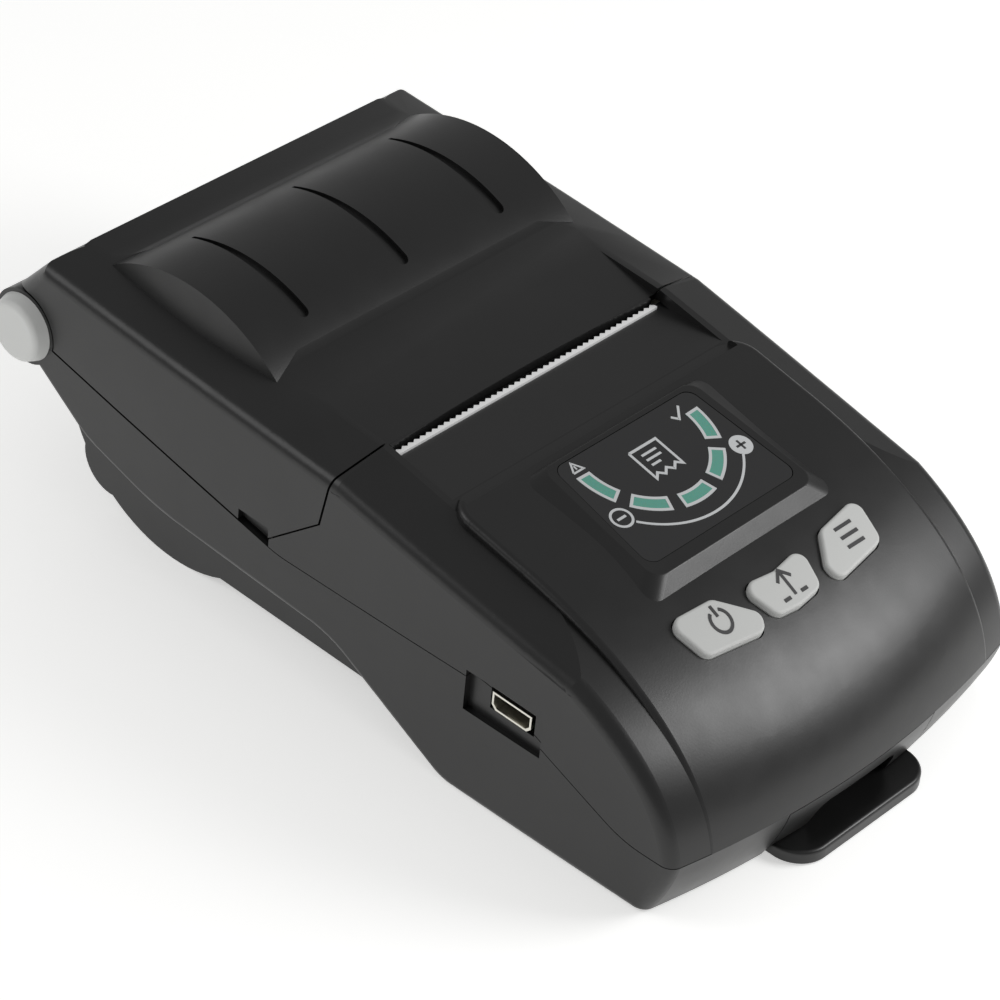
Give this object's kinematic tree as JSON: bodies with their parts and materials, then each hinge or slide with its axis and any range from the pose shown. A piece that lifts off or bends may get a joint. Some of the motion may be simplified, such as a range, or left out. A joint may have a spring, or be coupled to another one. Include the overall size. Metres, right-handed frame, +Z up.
{
  "type": "portable thermal printer",
  "caption": "Hand-sized receipt printer with a hinged paper cover over the roll, raised display, three keys, side socket, sliding battery door and belt clip.",
  "frame": {"origin": "middle of the printer's footprint, on the surface that it lies on", "axes": "+X to the printer's right seen from its key end, +Y from the keys to the cover's hinge, +Z up"},
  "size_m": [0.0864, 0.151, 0.0521],
  "materials": {
    "shell_black": "fine matte moulded plastic, charcoal black",
    "key_grey": "light grey silicone rubber keys with printed symbols",
    "cap_grey": "smooth light grey moulded plastic",
    "label_film": "smooth printed film label",
    "lamp_lens": "translucent teal light guides",
    "led_white": "small surface mounted lamps",
    "circuit_board": "green solder resist",
    "chip_black": "black moulded packages",
    "shield_tin": "tinned sheet steel",
    "steel_sheet": "bent sheet steel",
    "steel_bright": "bright stainless steel",
    "spring_steel": "drawn spring wire",
    "heatsink_aluminium": "plain aluminium",
    "head_ceramic": "glazed ceramic strip",
    "flex_amber": "polyimide ribbon",
    "platen_rubber": "ground black rubber",
    "gear_white": "natural acetal",
    "bronze_bush": "plain bronze",
    "contact_brass": "plated spring contacts",
    "paper_white": "smooth coated paper",
    "card_core": "wound grey card",
    "battery_wrap": "blue plastic sleeve",
    "screw_black": "black zinc plated steel"
  },
  "bodies": {
    "base": {"base_shell": "shell_black", "front_shell": "shell_black", "display_label": "label_film", "led_windows": "lamp_lens", "status_leds": "led_white", "key_board": "circuit_board", "key_switches": "chip_black", "tear_bar": "steel_bright", "mechanism_frame": "steel_sheet", "head_springs": "spring_steel", "head_cable": "flex_amber", "stepper_motor": "steel_sheet", "idler_axle": "steel_bright", "main_board": "circuit_board", "board_chips": "chip_black", "radio_module": "shield_tin", "usb_connector": "steel_bright", "battery_pack": "battery_wrap", "battery_contacts": "contact_brass", "hinge_cap_left": "cap_grey", "hinge_cap_right": "cap_grey", "case_screws": "screw_black", "mechanism_screws": "screw_black", "paper_sensor": "chip_black"},
    "cover": {"paper_cover": "shell_black", "platen_bushings": "bronze_bush", "platen_bracket": "steel_sheet"},
    "platen": {"platen_roller": "platen_rubber", "platen_shaft": "steel_bright", "platen_gear": "gear_white"},
    "idler": {"idler_gear": "gear_white"},
    "pinion": {"motor_pinion": "gear_white"},
    "roll": {"paper_roll": "paper_white", "paper_core": "card_core"},
    "power_key": {"power_button": "key_grey"},
    "feed_key": {"feed_button": "key_grey"},
    "menu_key": {"menu_button": "key_grey"},
    "door": {"battery_door": "shell_black", "clip_pin": "spring_steel", "clip_spring": "spring_steel"},
    "clip": {"belt_clip": "shell_black"},
    "head": {"print_head": "head_ceramic", "head_heatsink": "heatsink_aluminium"}
  },
  "joints": [
    {"name": "cover_hinge", "type": "hinge", "parent": "base", "child": "cover", "pos_m": [0, 0.06895, 0.032], "axis": [-1, 0, 0], "range_deg": [0, 100]},
    {"name": "platen_spin", "type": "hinge", "parent": "cover", "child": "platen", "pos_m": [0, 0.00435, 0.0352], "axis": [1, 0, 0], "continuous": true},
    {"name": "idler_spin", "type": "hinge", "parent": "base", "child": "idler", "pos_m": [0, 0.00435, 0.0237], "axis": [1, 0, 0], "continuous": true},
    {"name": "motor_spin", "type": "hinge", "parent": "base", "child": "pinion", "pos_m": [0, -0.00565, 0.0237], "axis": [1, 0, 0], "continuous": true},
    {"name": "roll_spin", "type": "hinge", "parent": "base", "child": "roll", "pos_m": [0, 0.03975, 0.0242], "axis": [1, 0, 0], "continuous": true},
    {"name": "power_press", "type": "slide", "parent": "base", "child": "power_key", "axis": [0, 0.2504, -0.9681], "range_m": [0, 0.0006], "stiffness_N_per_m": 1200, "springref_m": -0.0003},
    {"name": "feed_press", "type": "slide", "parent": "base", "child": "feed_key", "axis": [0, 0.2504, -0.9681], "range_m": [0, 0.0006], "stiffness_N_per_m": 1200, "springref_m": -0.0003},
    {"name": "menu_press", "type": "slide", "parent": "base", "child": "menu_key", "axis": [0, 0.2504, -0.9681], "range_m": [0, 0.0006], "stiffness_N_per_m": 1200, "springref_m": -0.0003},
    {"name": "door_slide", "type": "slide", "parent": "base", "child": "door", "axis": [0, -1, 0], "range_m": [0, 0.06]},
    {"name": "clip_hinge", "type": "hinge", "parent": "door", "child": "clip", "pos_m": [0, -0.00525, 0.00155], "axis": [1, 0, 0], "range_deg": [0, 12], "stiffness_Nm_per_rad": 0.3, "springref_deg": -2.86},
    {"name": "head_pivot", "type": "hinge", "parent": "base", "child": "head", "pos_m": [0, -0.0024, 0.0312], "axis": [1, 0, 0], "range_deg": [0, 1.5], "stiffness_Nm_per_rad": 1, "springref_deg": -2.86}
  ],
  "couplings": [
    {"joint": "idler_spin", "follows": "platen_spin", "ratio": -0.64286},
    {"joint": "motor_spin", "follows": "platen_spin", "ratio": 1.5}
  ]
}
